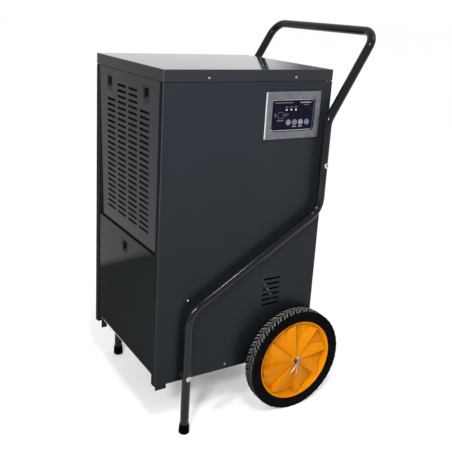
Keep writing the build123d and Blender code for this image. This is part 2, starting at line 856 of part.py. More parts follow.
for name, y in coils:
    with BuildPart() as coil:
        # Fins
        with BuildSketch(Plane.XY.offset(coil_bottom)):
            with Locations((0, y)):
                with GridLocations(fin_pitch, 1, fin_count, 1):
                    Rectangle(0.6, coil_depth)
        extrude(amount=coil_top - coil_bottom)
        # End plates, which stand in the drip tray
        with BuildSketch(Plane.XY.offset(tray_z + 1.5)):
            with Locations((-coil_half_width - 1, y), (coil_half_width + 1, y)):
                Rectangle(1.5, coil_depth + 2)
        extrude(amount=coil_top + 4 - tray_z)
        # Tubes through the fins
        with BuildSketch(Plane.YZ):
            with Locations((y, coil_middle_z)):
                with GridLocations(1, tube_pitch, 1, tube_rows):
                    Circle(coil_tube_radius)
        extrude(amount=coil_end_x, both=True)
        # Return bends: all of them on the left, all but the first and last tube on the right
        for row in range(tube_rows - 1):
            side = 1 if row % 2 else -1
            bend_z = coil_tube_zs[row] + tube_pitch / 2
            with BuildSketch(side_plane(1, side * coil_end_x)):
                with Locations((y, bend_z + side * tube_pitch / 2)):
                    Circle(coil_tube_radius)
            revolve(axis=Axis((side * coil_end_x, y, bend_z), (0, 1, 0)), revolution_arc=180)
    write(coil.part, name)

shroud_half_width = side_x - 4
shroud_bottom = deck_z + 1.6
shroud_top = cabinet_top - sheet - 0.4
collar_depth = 38
collar_radius = fan_radius + 7

with BuildPart() as fan_shroud:
    with BuildSketch(Plane.XZ.offset(-shroud_y)):
        with Locations((0, (shroud_bottom + shroud_top) / 2)):
            Rectangle(2 * shroud_half_width, shroud_top - shroud_bottom)
        with Locations((0, fan_z)):
            Circle(collar_radius, mode=Mode.SUBTRACT)
        for x, _ in (discharge_riser, suction_riser):
            with Locations((x, coil_tube_zs[-1]), (x, coil_tube_zs[0])):
                Circle(riser_hole, mode=Mode.SUBTRACT)
    extrude(amount=-1.2)
    with BuildSketch(Plane.XZ.offset(-shroud_y)):
        with Locations((0, fan_z)):
            Circle(collar_radius + 1.2)
            Circle(collar_radius, mode=Mode.SUBTRACT)
    extrude(amount=-collar_depth)
write(fan_shroud.part, "fan_shroud")

blade_pitch = radians(28)
blade_thickness = 1.8

with BuildPart() as fan_impeller:
    with BuildSketch(Plane.XZ.offset(-(fan_y - 17))):
        with Locations((0, fan_z)):
            Circle(fan_hub_radius)
    extrude(amount=-34)
    for blade in range(fan_blades):
        angle = 2 * pi * blade / fan_blades
        blade_plane = Plane(
            origin=(0, fan_y, fan_z),
            x_dir=(cos(angle), 0, sin(angle)),
            z_dir=(-sin(blade_pitch) * sin(angle), cos(blade_pitch), sin(blade_pitch) * cos(angle)),
        )
        with BuildSketch(blade_plane.offset(-blade_thickness / 2)):
            with BuildLine():
                Spline((28, -14), (90, -32), (140, -30))
                ThreePointArc((140, -30), (152, 0), (146, 34))
                Spline((146, 34), (90, 26), (28, 14))
                Line((28, 14), (28, -14))
            make_face()
        extrude(amount=blade_thickness)
    with BuildSketch(Plane.XZ.offset(-(fan_y - 20))):
        with Locations((0, fan_z)):
            Circle(shaft_radius + 0.02)
    extrude(amount=-50, mode=Mode.SUBTRACT)
write(fan_impeller.part, "fan_impeller")

motor_front = -92
motor_back = -17
motor_radius = 46

with BuildPart() as fan_shaft:
    with BuildSketch(Plane.XZ.offset(-(fan_y - 19))):
        with Locations((0, fan_z)):
            Circle(shaft_radius)
    extrude(amount=-(motor_back - 5 - (fan_y - 19)))
write(fan_shaft.part, "fan_shaft")

with BuildPart() as fan_motor:
    with BuildSketch(Plane.XZ.offset(-motor_front)):
        with Locations((0, fan_z)):
            Circle(motor_radius)
    extrude(amount=-(motor_back - motor_front))
    fillet(fan_motor.edges().filter_by(GeomType.CIRCLE), radius=6)
    with BuildSketch(Plane.XZ.offset(-motor_front + 2)):
        with Locations((0, fan_z)):
            Circle(shaft_radius + 0.06)
    extrude(amount=-(motor_back - motor_front), mode=Mode.SUBTRACT)
write(fan_motor.part, "fan_motor")

with BuildPart() as motor_bracket:
    with BuildSketch(Plane.XY.offset(shroud_bottom)):
        with BuildLine():
            FilletPolyline(
                (-30, motor_back + 24),
                (-30, motor_back + 0.9),
                (30, motor_back + 0.9),
                (30, motor_back + 24),
                radius=bend_radius,
            )
        trace(line_width=1.6)
    extrude(amount=shroud_top - shroud_bottom)
write(motor_bracket.part, "motor_bracket")

# ---------------------------------------------------------------- machinery

mount_radius = 11
mount_circle = 78
mount_angles = [radians(90 + 120 * place) for place in range(3)]
mount_places = [
    (compressor_x + mount_circle * cos(a), compressor_y + mount_circle * sin(a)) for a in mount_angles
]
mount_base = pan_z + 1.5

with BuildPart() as compressor:
    with BuildSketch(Plane.XY.offset(compressor_foot_z + 3)):
        with Locations((compressor_x, compressor_y)):
            Circle(compressor_radius)
    extrude(amount=compressor_height)
    fillet(compressor.edges().filter_by(GeomType.CIRCLE).sort_by(Axis.Z)[-1], radius=24)
    # Three-armed foot plate
    with BuildSketch(Plane.XY.offset(compressor_foot_z)):
        with Locations((compressor_x, compressor_y)):
            Circle(compressor_radius - 4)
        with Locations(*mount_places):
            Circle(15)
        for (x, y), angle in zip(mount_places, mount_angles):
            middle = ((x + compressor_x) / 2, (y + compressor_y) / 2)
            with Locations(middle):
                Rectangle(mount_circle, 28, rotation=degrees(angle))
    extrude(amount=3)
    # Discharge stub and terminal cover on the top
    with BuildSketch(Plane.XY.offset(compressor_foot_z + compressor_height - 6)):
        with Locations((compressor_x, compressor_y)):
            Circle(5)
    extrude(amount=22)
    # Hollow shell around the motor and pump block
    with BuildSketch(Plane.XY.offset(compressor_foot_z + 7)):
        with Locations((compressor_x, compressor_y)):
            Circle(compressor_radius - 3.5)
            Circle(40, mode=Mode.SUBTRACT)
    extrude(amount=compressor_height - 40, mode=Mode.SUBTRACT)
    with BuildSketch(Plane.XY.offset(compressor_foot_z + 2)):
        with Locations(*mount_places):
            Circle(4.2)
    extrude(amount=10, both=True, mode=Mode.SUBTRACT)
write(compressor.part, "compressor")

with BuildPart() as compressor_mounts:
    with BuildSketch(Plane.XY.offset(mount_base)):
        with Locations(*mount_places):
            Circle(mount_radius)
    extrude(amount=compressor_foot_z - mount_base)
write(compressor_mounts.part, "compressor_mounts")

accumulator_x = compressor_x - 96
accumulator_radius = 24
accumulator_bottom = 215
accumulator_top = 365

with BuildPart() as suction_accumulator:
    with BuildSketch(Plane.XY.offset(accumulator_bottom)):
        with Locations((accumulator_x, compressor_y)):
            Circle(accumulator_radius)
    extrude(amount=accumulator_top - accumulator_bottom)
    fillet(suction_accumulator.edges().filter_by(GeomType.CIRCLE), radius=12)
    # Strap plate to the compressor shell
    with BuildSketch(side_plane(1, accumulator_x + 20)):
        with Locations((compressor_y, 290)):
            Rectangle(20, 20)
    extrude(amount=compressor_x - compressor_radius - 0.6 - accumulator_x - 20)
write(suction_accumulator.part, "suction_accumulator")

discharge_top = compressor_foot_z + compressor_height + 16
drier_top = 400
drier_bottom = 300
evaporator_y = coils[0][1]
condenser_y = coils[1][1]

# The discharge pipe dips beside the vents before it rises
loop_x = 200
loop_bottom = 282
discharge_route = (
    (compressor_x, compressor_y, discharge_top),
    (compressor_x, compressor_y, discharge_top + 20),
    (loop_x, 8, discharge_top + 20),
    (loop_x, 8, 400),
    (loop_x, 66, 306),
    (loop_x, 66, loop_bottom),
    (*discharge_riser, loop_bottom),
    (*discharge_riser, coil_tube_zs[-1]),
    (discharge_riser[0], condenser_y, coil_tube_zs[-1]),
    (coil_end_x, condenser_y, coil_tube_zs[-1]),
)
suction_route = (
    (accumulator_x, compressor_y, accumulator_top),
    (accumulator_x, compressor_y, 438),
    (*suction_riser, 438),
    (*suction_riser, coil_tube_zs[-1]),
    (suction_riser[0], evaporator_y, coil_tube_zs[-1]),
    (coil_end_x, evaporator_y, coil_tube_zs[-1]),
)
liquid_route = (
    (*liquid_riser, drier_top),
    (*liquid_riser, coil_tube_zs[0]),
    (liquid_riser[0], condenser_y, coil_tube_zs[0]),
    (coil_end_x, condenser_y, coil_tube_zs[0]),
)
capillary_route = (
    (*liquid_riser, drier_bottom),
    (*liquid_riser, drier_bottom - 30),
    (*capillary_riser, drier_bottom - 30),
    (*capillary_riser, coil_tube_zs[0]),
    (capillary_riser[0], evaporator_y, coil_tube_zs[0]),
    (coil_end_x, evaporator_y, coil_tube_zs[0]),
)

for name, route, radius in (
    ("discharge_pipe", discharge_route, 4.8),
    ("suction_pipe", suction_route, 4.8),
):
    with BuildPart() as pipe:
        with BuildLine():
            FilletPolyline(*route, radius=8)
        with BuildSketch(Plane(origin=route[0], z_dir=(0, 0, 1))):
            Circle(radius)
            Circle(radius - 1, mode=Mode.SUBTRACT)
        sweep()
    write(pipe.part, name)

# Filter drier with the liquid line brazed into its top and the capillary into its foot
with BuildPart() as liquid_line:
    for route, radius, heading in ((liquid_route, 4, 1), (capillary_route, 2, -1)):
        with BuildLine():
            FilletPolyline(*route, radius=8)
        with BuildSketch(Plane(origin=route[0], z_dir=(0, 0, heading))):
            Circle(radius)
        sweep()
    with BuildSketch(Plane.XY.offset(drier_bottom)):
        with Locations(liquid_riser):
            Circle(12)
    extrude(amount=drier_top - drier_bottom)
    fillet(liquid_line.edges().filter_by(GeomType.CIRCLE).filter_by(lambda e: e.radius > 11), radius=6)
write(liquid_line.part, "liquid_line")

with BuildPart() as run_capacitor:
    with BuildSketch(Plane.XY.offset(mount_base)):
        with Locations((-150, 60)):
            Circle(22)
    extrude(amount=95)
    with BuildSketch(Plane.XY.offset(mount_base + 95)):
        with Locations((-150, 60)):
            with GridLocations(16, 1, 2, 1):
                Rectangle(2, 6)
    extrude(amount=8)
write(run_capacitor.part, "run_capacitor")

gland_bore = 4.5
with BuildPart() as cable_gland:
    with BuildSketch(Plane.XZ.offset(-(rear_plate_y - 12))):
        with Locations((gland_x, gland_z)):
            Circle(gland_thread_radius)
    extrude(amount=-12 - sheet)
    with BuildSketch(Plane.XZ.offset(-rear_plate_y)):
        with Locations((gland_x, gland_z)):
            RegularPolygon(13, 6)
    extrude(amount=-8)
    with BuildSketch(Plane.XZ.offset(-rear_plate_y - 8)):
        with Locations((gland_x, gland_z)):
            Circle(10.5)
    extrude(amount=-12, taper=12)
    with BuildSketch(Plane.XZ.offset(-(rear_plate_y - 14))):
        with Locations((gland_x, gland_z)):
            Circle(gland_bore)
    extrude(amount=-40, mode=Mode.SUBTRACT)
write(cable_gland.part, "cable_gland")

# ---------------------------------------------------------------- water tank

tank_half_width = 150
tank_front = -298
tank_depth = 148
tank_bottom = pan_z + pan_rim + 2
tank_top = 410
tank_wall = 2.5
tank_y = tank_front + tank_depth / 2
float_x = 90
float_y = tank_y + 20

with BuildPart() as water_tank:
    with BuildSketch(Plane.XY.offset(tank_bottom)):
        with Locations((0, tank_y)):
            RectangleRounded(2 * tank_half_width, tank_depth, 14)
    extrude(amount=tank_top - tank_bottom)
    offset(amount=-tank_wall, openings=water_tank.faces().sort_by(Axis.Z)[-1])
    # Guide post of the float
    with BuildSketch(Plane.XY.offset(tank_bottom + 1)):
        with Locations((float_x, float_y)):
            Circle(3)
    extrude(amount=tank_top - 8 - tank_bottom)
    # Grip ledge across the front rim
    with BuildSketch(Plane.XY.offset(tank_top - 4)):
        with Locations((0, tank_front + 12)):
            Rectangle(110, 20)
    extrude(amount=4)
write(water_tank.part, "water_tank")

with BuildPart() as tank_float:
    with BuildSketch(Plane.XY.offset(tank_top - 60)):
        with Locations((float_x, float_y)):
            Circle(20)
            Circle(3.4, mode=Mode.SUBTRACT)
    extrude(amount=24)
    fillet(tank_float.edges().filter_by(lambda e: e.length > 100), radius=4)
write(tank_float.part, "tank_float")
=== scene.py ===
import json
import math
import bpy
import bmesh
from mathutils import Matrix, Vector


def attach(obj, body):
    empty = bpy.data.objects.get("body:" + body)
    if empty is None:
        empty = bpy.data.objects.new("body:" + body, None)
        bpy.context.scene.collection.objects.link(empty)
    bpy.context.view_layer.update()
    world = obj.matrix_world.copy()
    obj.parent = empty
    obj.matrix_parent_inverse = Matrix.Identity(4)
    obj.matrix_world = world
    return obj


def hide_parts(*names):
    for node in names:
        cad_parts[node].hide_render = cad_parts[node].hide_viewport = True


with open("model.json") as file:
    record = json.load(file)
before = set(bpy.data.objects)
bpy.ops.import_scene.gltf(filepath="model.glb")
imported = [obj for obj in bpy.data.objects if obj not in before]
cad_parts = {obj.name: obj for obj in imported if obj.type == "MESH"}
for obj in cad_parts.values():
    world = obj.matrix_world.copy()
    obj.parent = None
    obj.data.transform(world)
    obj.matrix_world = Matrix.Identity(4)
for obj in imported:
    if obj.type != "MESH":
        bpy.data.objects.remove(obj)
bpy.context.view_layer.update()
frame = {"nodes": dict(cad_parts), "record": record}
nodes = frame["nodes"]
scene = bpy.context.scene
scene.view_settings.view_transform = "Standard"

# ------------------------------------------------------------------ shared measures

MM = 0.001
# Wheel axle, in metres
AXLE = Vector((0.0, 0.106, 0.150))
# Heights between which the cabinet paint goes from its dark lower tone to its lighter upper tone: painted shade low
# down and painted light towards the top
PAINTED_SHADE_FROM_Z, PAINTED_SHADE_TO_Z = 0.15, 0.97
# Radii between which the tyre's side ends and the tops of the tread blocks begin
TREAD_START, TREAD_TOP = 0.1489, 0.1497
# Sockets of the colour mix node
MIX_FIRST, MIX_SECOND, MIX_RESULT = 6, 7, 2

# ------------------------------------------------------------------ materials


class Finish:
    """A small builder for one procedural material."""

    def __init__(self, name):
        self.material = bpy.data.materials.new(name)
        self.material.use_nodes = True
        self.tree = self.material.node_tree
        self.tree.nodes.clear()
        self.shader = self.add("ShaderNodeBsdfPrincipled")
        out = self.add("ShaderNodeOutputMaterial")
        self.join(self.shader.outputs["BSDF"], out.inputs["Surface"])
        self.coords = self.add("ShaderNodeTexCoord").outputs["Object"]
        self.normal = None

    def add(self, kind):
        return self.tree.nodes.new(kind)

    def join(self, source, target):
        self.tree.links.new(source, target)

    def stretched(self, scale):
        if isinstance(scale, (int, float)):
            return self.coords, scale
        mapping = self.add("ShaderNodeMapping")
        mapping.inputs["Scale"].default_value = scale
        self.join(self.coords, mapping.inputs["Vector"])
        return mapping.outputs["Vector"], 1.0

    def noise(self, scale, detail=3.0, rough=0.5):
        vector, own_scale = self.stretched(scale)
        node = self.add("ShaderNodeTexNoise")
        node.inputs["Scale"].default_value = own_scale
        node.inputs["Detail"].default_value = detail
        node.inputs["Roughness"].default_value = rough
        self.join(vector, node.inputs["Vector"])
        return node.outputs["Fac"]

    def cells(self, scale):
        vector, own_scale = self.stretched(scale)
        node = self.add("ShaderNodeTexVoronoi")
        node.inputs["Scale"].default_value = own_scale
        self.join(vector, node.inputs["Vector"])
        return node

    def spread(self, value, low, high, start=0.3, stop=0.7):
        node = self.add("ShaderNodeMapRange")
        node.inputs["From Min"].default_value = start
        node.inputs["From Max"].default_value = stop
        node.inputs["To Min"].default_value = low
        node.inputs["To Max"].default_value = high
        self.join(value, node.inputs["Value"])
        return node.outputs["Result"]

    def position(self):
        """The point's x, y and z in the shared frame."""
        node = self.add("ShaderNodeSeparateXYZ")
        self.join(self.coords, node.inputs["Vector"])
        return node.outputs["X"], node.outputs["Y"], node.outputs["Z"]

    def arith(self, operation, first, second):
        """Arithmetic on a socket and a second socket or number."""
        node = self.add("ShaderNodeMath")
        node.operation = operation
        self.join(first, node.inputs[0])
        if isinstance(second, (int, float)):
            node.inputs[1].default_value = second
        else:
            self.join(second, node.inputs[1])
        return node.outputs[0]

    def blend(self, factor, first, second):
        node = self.add("ShaderNodeMix")
        node.data_type = "RGBA"
        for colour, socket in ((first, node.inputs[MIX_FIRST]), (second, node.inputs[MIX_SECOND])):
            if isinstance(colour, tuple):
                socket.default_value = (*colour, 1.0)
            else:
                self.join(colour, socket)
        self.join(factor, node.inputs[0])
        return node.outputs[MIX_RESULT]

    def colour(self, value):
        self.join(value, self.shader.inputs["Base Color"])

    def roughness(self, value):
        self.join(value, self.shader.inputs["Roughness"])

    def set(self, **values):
        for name, value in values.items():
            self.shader.inputs[name.replace("_", " ")].default_value = value

    def bump(self, height, distance, strength=1.0):
        node = self.add("ShaderNodeBump")
        node.inputs["Distance"].default_value = distance
        node.inputs["Strength"].default_value = strength
        self.join(height, node.inputs["Height"])
        if self.normal is not None:
            self.join(self.normal, node.inputs["Normal"])
        self.normal = node.outputs["Normal"]
        self.join(self.normal, self.shader.inputs["Normal"])


def coated(name, low, high, rough, ior, peel=260.0, depth=0.00006, painted_light_top=None, painted_reflection_line=None):
    """Powder coat: slight cloudiness of tone, orange peel, a few settled specks.

    The optional top tones are the two lighter tones that it reaches at its top: painted light and shade, darker low
    down and lighter high up. The optional reflection line holds a direction, the gloss below and above a line across
    that direction, and where along it the change starts and stops: a painted reflection edge.
    """
    f = Finish(name)
    cloud = f.spread(f.noise(3.2, 4.0), 0.0, 1.0, 0.35, 0.65)
    base = f.blend(cloud, low, high)
    if painted_light_top:
        # Painted light and shade: the tone grows lighter with height
        raised = f.spread(f.position()[2], 0.0, 1.0, PAINTED_SHADE_FROM_Z, PAINTED_SHADE_TO_Z)
        base = f.blend(raised, base, f.blend(cloud, *painted_light_top))
    if painted_reflection_line:
        # Painted reflection: the panel is duller below a slanted line and glossier above it, standing in for a
        # reflected shadow edge
        across = f.add("ShaderNodeVectorMath")
        across.operation = "DOT_PRODUCT"
        heading, below, above, start, stop = painted_reflection_line
        across.inputs[1].default_value = heading
        f.join(f.coords, across.inputs[0])
        painted_reflection_level = f.spread(across.outputs["Value"], below, above, start, stop)
        f.join(painted_reflection_level, f.shader.inputs["Specular IOR Level"])
        # The exported model drops the link and keeps this even level
        f.set(Specular_IOR_Level=(below + above) / 2)
    dust = f.spread(f.noise(900.0, 2.0), 0.0, 0.12, 0.66, 0.8)
    f.colour(f.blend(dust, base, tuple(min(1.0, c * 3 + 0.03) for c in high)))
    f.roughness(f.spread(f.noise(26.0, 5.0), rough[0], rough[1]))
    f.bump(f.noise(peel, 2.0), depth, 0.5)
    f.set(IOR=ior)
    return f.material


def metal(name, low, high, rough, grain, depth=0.00003, patch=60.0):
    """Bare metal with a drawn, brushed or plated grain; grain is the noise scale per axis."""
    f = Finish(name)
    lines = f.noise(grain, 3.0, 0.6)
    patches = f.spread(f.noise(patch, 3.0), 0.0, 1.0)
    f.colour(f.blend(patches, low, high))
    f.roughness(f.spread(lines, rough[0], rough[1]))
    f.bump(lines, depth, 0.6)
    f.set(Metallic=1.0)
    return f.material


def moulded(name, low, high, rough=(0.35, 0.5), grain=1400.0, depth=0.00004, ior=1.45, haze=0.0):
    """Injection-moulded plastic or rubber: fine texture and a faint change of tone."""
    f = Finish(name)
    f.colour(f.blend(f.spread(f.noise(18.0, 4.0), 0.0, 1.0), low, high))
    f.roughness(f.spread(f.noise(70.0, 3.0), rough[0], rough[1]))
    f.bump(f.noise(grain, 2.0), depth, 0.6)
    f.set(IOR=ior)
    if haze:
        f.set(Subsurface_Weight=haze, Subsurface_Radius=(0.004, 0.002, 0.001), Subsurface_Scale=1.0)
    return f.material


def galvanised():
    f = Finish("galvanised_sheet")
    spangle = f.cells(90.0)
    tone = f.spread(spangle.outputs["Color"], 0.0, 1.0, 0.0, 1.0)
    f.colour(f.blend(tone, (0.36, 0.37, 0.38), (0.58, 0.6, 0.61)))
    f.roughness(f.spread(f.noise(40.0), 0.32, 0.5))
    f.bump(spangle.outputs["Distance"], 0.00003, 0.5)
    f.set(Metallic=1.0)
    return f.material


def tyre_rubber():
    """Black rubber, with grey dust that sits on the tops of the tread blocks, and painted light that makes those tops
    greyer on the upper half of the wheel.
    """
    f = Finish("tyre_rubber")
    _, y, z = f.position()
    up = f.arith("SUBTRACT", z, AXLE.z)
    along = f.arith("SUBTRACT", y, AXLE.y)
    flat = f.add("ShaderNodeCombineXYZ")
    f.join(up, flat.inputs["X"])
    f.join(along, flat.inputs["Y"])
    radius = f.add("ShaderNodeVectorMath")
    radius.operation = "LENGTH"
    f.join(flat.outputs[0], radius.inputs[0])
    tread = f.spread(radius.outputs["Value"], 0.0, 1.0, TREAD_START, TREAD_TOP)
    speck = f.spread(f.noise(240.0, 4.0), 0.35, 1.0, 0.3, 0.62)
    # Painted light: the dusty tread tops turn greyer on the upper half of the wheel, as if lit from above
    crown = f.spread(up, 0.3, 1.0, -0.05, 0.11)
    dust_and_painted_light = f.arith("MULTIPLY", f.arith("MULTIPLY", tread, speck), crown)
    cloud = f.spread(f.noise(30.0, 5.0), 0.0, 1.0)
    side = f.blend(cloud, (0.0012, 0.0012, 0.0014), (0.003, 0.0028, 0.0028))
    f.colour(f.blend(dust_and_painted_light, side, (0.16, 0.156, 0.15)))
    f.roughness(f.spread(f.noise(120.0, 3.0), 0.5, 0.78))
    f.bump(f.noise(900.0, 3.0), 0.0001, 0.6)
    f.set(IOR=1.06)
    return f.material


def hub_plastic():
    f = Finish("hub_plastic")
    flow = f.spread(f.noise(14.0, 3.0), 0.0, 1.0)
    base = f.blend(flow, (0.38, 0.116, 0.0002), (0.45, 0.15, 0.0003))
    scuff = f.spread(f.noise((60.0, 900.0, 900.0), 3.0), 0.0, 0.16, 0.62, 0.8)
    f.colour(f.blend(scuff, base, (0.45, 0.14, 0.004)))
    f.roughness(f.spread(f.noise(50.0, 3.0), 0.3, 0.46))
    f.bump(f.noise(700.0, 2.0), 0.00005, 0.5)
    f.set(IOR=1.12)
    return f.material


def filter_mesh():
    """A fine woven mesh, drawn in relief across the plastic frame's openings."""
    f = Finish("filter_mesh")
    threads = f.add("ShaderNodeTexChecker")
    threads.inputs["Scale"].default_value = 700.0
    threads.inputs["Color1"].default_value = (0.011, 0.0115, 0.013, 1.0)
    threads.inputs["Color2"].default_value = (0.003, 0.003, 0.004, 1.0)
    f.join(f.coords, threads.inputs["Vector"])
    f.colour(threads.outputs["Color"])
    f.roughness(f.spread(f.noise(200.0), 0.6, 0.85))
    f.bump(threads.outputs["Fac"], 0.0002, 0.8)
    f.set(IOR=1.15)
    return f.material


def finned():
    f = Finish("coil_fins")
    bands = f.noise((900.0, 4.0, 60.0), 2.0)
    f.colour(f.blend(f.spread(bands, 0.0, 1.0), (0.42, 0.44, 0.46), (0.68, 0.7, 0.72)))
    f.roughness(f.spread(f.noise(120.0), 0.28, 0.46))
    f.bump(bands, 0.0002, 0.5)
    f.set(Metallic=1.0)
    return f.material


def overlay():
    """The printed membrane: near-black blue, silky, with a faint dimple grain."""
    f = Finish("membrane")
    tone = f.spread(f.noise(30.0, 3.0), 0.0, 1.0)
    f.colour(f.blend(tone, (0.0022, 0.0024, 0.009), (0.0042, 0.0045, 0.0135)))
    f.roughness(f.spread(f.noise(90.0), 0.24, 0.38))
    f.bump(f.noise(2200.0, 1.0), 0.00002, 0.5)
    f.set(IOR=1.14)
    return f.material


def window_glass():
    f = Finish("display_glass")
    tone = f.spread(f.noise(160.0, 3.0), 0.0, 1.0)
    f.colour(f.blend(tone, (0.003, 0.001, 0.006), (0.007, 0.003, 0.012)))
    f.roughness(f.spread(f.noise(60.0), 0.06, 0.14))
    f.bump(f.noise(400.0), 0.00001, 0.4)
    f.set(IOR=1.15)
    return f.material


def keycap(name, face, ring):
    f = Finish(name)
    f.colour(f.blend(f.spread(f.noise(300.0, 3.0), 0.0, 1.0), face, ring))
    f.roughness(f.spread(f.noise(110.0), 0.28, 0.42))
    f.bump(f.noise(1600.0), 0.00002, 0.5)
    return f.material


# The cabinet paint carries painted shade, far darker low down and lighter towards the top
paint = coated(
    "cabinet_paint", (0.0022, 0.0038, 0.0056), (0.003, 0.005, 0.0072), (0.28, 0.38), 1.22,
    painted_light_top=((0.0118, 0.0146, 0.0192), (0.0147, 0.018, 0.0232)),
)
# Painted highlight for the front corner folds, lighter towards the top
painted_fold_highlight = coated(
    "corner_fold_painted_highlight", (0.006, 0.0075, 0.0095), (0.01, 0.012, 0.0145), (0.2, 0.3), 1.2,
    painted_light_top=((0.03, 0.033, 0.04), (0.05, 0.054, 0.062)),
)
# Painted shade: a darker, duller copy of the cabinet paint for the front flanges
painted_shade_flange = coated("painted_shade_flange", (0.0045, 0.0052, 0.006), (0.0068, 0.0074, 0.0082), (0.2, 0.3), 1.04)
lid_paint = coated("lid_paint", (0.0125, 0.015, 0.019), (0.0165, 0.0192, 0.024), (0.05, 0.1), 1.265, depth=0.000015)
front_paint = coated("front_paint", (0.0085, 0.0095, 0.0108), (0.0118, 0.0128, 0.0142), (0.08, 0.14), 1.15)
# The lower front carries a painted reflection edge, a gloss step along a slanted line
lower_paint = coated(
    "lower_front_paint", (0.007, 0.0085, 0.0085), (0.0095, 0.0112, 0.011), (0.035, 0.07), 1.2,
    painted_reflection_line=((-0.4225, 0.0, 0.9064), 0.01, 0.19, 0.381, 0.403),
)
tube_paint = coated("frame_paint", (0.0034, 0.0046, 0.007), (0.0053, 0.0067, 0.0095), (0.09, 0.14), 1.27)
black_steel = coated("black_enamel", (0.008, 0.008, 0.009), (0.014, 0.014, 0.015), (0.22, 0.36), 1.4, 320.0)

zinc = metal("zinc_plate", (0.3, 0.29, 0.27), (0.5, 0.49, 0.46), (0.2, 0.38), 260.0)
weathered_copper = metal("weathered_copper", (0.4, 0.33, 0.27), (0.62, 0.55, 0.48), (0.25, 0.45), 160.0)
polished_edge = metal("polished_edge", (0.74, 0.75, 0.78), (0.86, 0.87, 0.9), (0.16, 0.28), (60.0, 60.0, 900.0))
dull_steel = metal("dull_steel", (0.1, 0.095, 0.085), (0.2, 0.19, 0.17), (0.3, 0.5), 300.0)
bright_steel = metal("bright_steel", (0.42, 0.42, 0.42), (0.62, 0.62, 0.63), (0.2, 0.36), (40.0, 900.0, 900.0))
brushed = metal("brushed_bezel", (0.148, 0.155, 0.172), (0.195, 0.203, 0.224), (0.3, 0.44), (900.0, 26.0, 1800.0))
copper = metal("copper_pipe", (0.62, 0.27, 0.13), (0.8, 0.42, 0.25), (0.22, 0.4), (300.0, 300.0, 30.0))

latch_plastic = moulded(
    "latch_plastic", (0.008, 0.0085, 0.009), (0.0125, 0.013, 0.0135), (0.4, 0.55), ior=1.18,
)
black_plastic = moulded("black_plastic", (0.009, 0.009, 0.01), (0.016, 0.016, 0.018))
rubber = moulded("foot_rubber", (0.0008, 0.0009, 0.001), (0.0022, 0.0023, 0.0025), (0.5, 0.7), 900.0, 0.0001, 1.02)
white_plastic = moulded("white_plastic", (0.66, 0.67, 0.68), (0.76, 0.77, 0.77))
# Painted highlight: a pale finish for the bezel's front-facing edge
painted_edge_highlight = moulded("bezel_painted_highlight", (0.62, 0.63, 0.66), (0.76, 0.77, 0.8), (0.25, 0.4), 900.0)
tank_plastic = moulded(
    "tank_plastic", (0.56, 0.6, 0.64), (0.66, 0.7, 0.74), (0.3, 0.45), 900.0, 0.00006, haze=0.15,
)
board = moulded("circuit_board", (0.008, 0.07, 0.03), (0.014, 0.11, 0.05), (0.3, 0.5), 900.0)

sheet_steel = galvanised()
fins = finned()
mesh_cloth = filter_mesh()
membrane = overlay()
dark_glass = window_glass()
yellow = hub_plastic()
tread_rubber = tyre_rubber()
lens = keycap("lamp_lens", (0.42, 0.41, 0.38), (0.58, 0.57, 0.53))
print_grey = keycap("printed_grey", (0.08, 0.08, 0.1), (0.115, 0.115, 0.135))
print_light = keycap("printed_light", (0.23, 0.23, 0.26), (0.3, 0.3, 0.33))

NODE_FINISH = {
    "cabinet_paint": paint,
    "frame_paint": tube_paint,
    "galvanised": sheet_steel,
    "zinc": zinc,
    "steel": bright_steel,
    "bezel": brushed,
    "fascia": membrane,
    "display": dark_glass,
    "lamp": lens,
    "button_blue": keycap("button_blue", (0.055, 0.08, 0.12), (0.08, 0.11, 0.16)),
    "button_red": keycap("button_red", (0.088, 0.045, 0.048), (0.125, 0.063, 0.064)),
    "button_cyan": keycap("button_cyan", (0.075, 0.12, 0.128), (0.11, 0.16, 0.168)),
    "button_violet": keycap("button_violet", (0.042, 0.046, 0.115), (0.063, 0.067, 0.155)),
    "black_plastic": black_plastic,
    "latch_plastic": latch_plastic,
    "dark_rubber": rubber,
    "tyre_rubber": tread_rubber,
    "hub_plastic": yellow,
    "copper": copper,
    "black_steel": black_steel,
    "white_plastic": white_plastic,
    "tank_plastic": tank_plastic,
    "filter_mesh": mesh_cloth,
    "board": board,
    "coil": fins,
}
NODE_OWN = {
    "front_grille_panel": front_paint,
    "front_lower_panel": lower_paint,
    "top_cover": lid_paint,
    "axle": dull_steel,
    "wheel_washers": dull_steel,
    "discharge_pipe": weathered_copper,
}
slot_of = {s["node"]: s["material_slot"] for s in frame["record"]["subparts"]}
for name, node in nodes.items():
    node.data.materials.clear()
    node.data.materials.append(NODE_OWN.get(name, NODE_FINISH[slot_of[name]]))


# Depths ahead of which a face is on the sheet's front, the bezel's front edge or the corner fold, and
# the distance from the middle at which the fold begins
FRONT_PLANE = -0.3165
BEZEL_FRONT = -0.0265
FOLD_START = -0.3145
CABINET_SIDE = 0.2125


def second_finish(name, finish, chosen):
    """Gives the faces of a node that pass a test another finish."""
    mesh = nodes[name].data
    mesh.materials.append(finish)
    for face in mesh.polygons:
        if chosen(face.normal, face.center):
            face.material_index = len(mesh.materials) - 1


def faces_forward(limit):
    """Flat faces that look forwards, ahead of a given depth."""
    return lambda normal, centre: normal.y < -0.95 and centre.y < limit


def on_corner_fold(normal, centre):
    """The outer radius of the folded vertical corner at the front, given a lighter paint as a painted highlight."""
    slanting = abs(normal.x) > 0.25 and normal.y < -0.25
    return slanting and abs(centre.x) > CABINET_SIDE and centre.y < FOLD_START


# The side panels' front flanges get the painted-shade copy of the paint
for name in ("left_side_panel", "right_side_panel"):
    second_finish(name, painted_shade_flange, faces_forward(FRONT_PLANE))
second_finish("top_cover", front_paint, faces_forward(FRONT_PLANE))
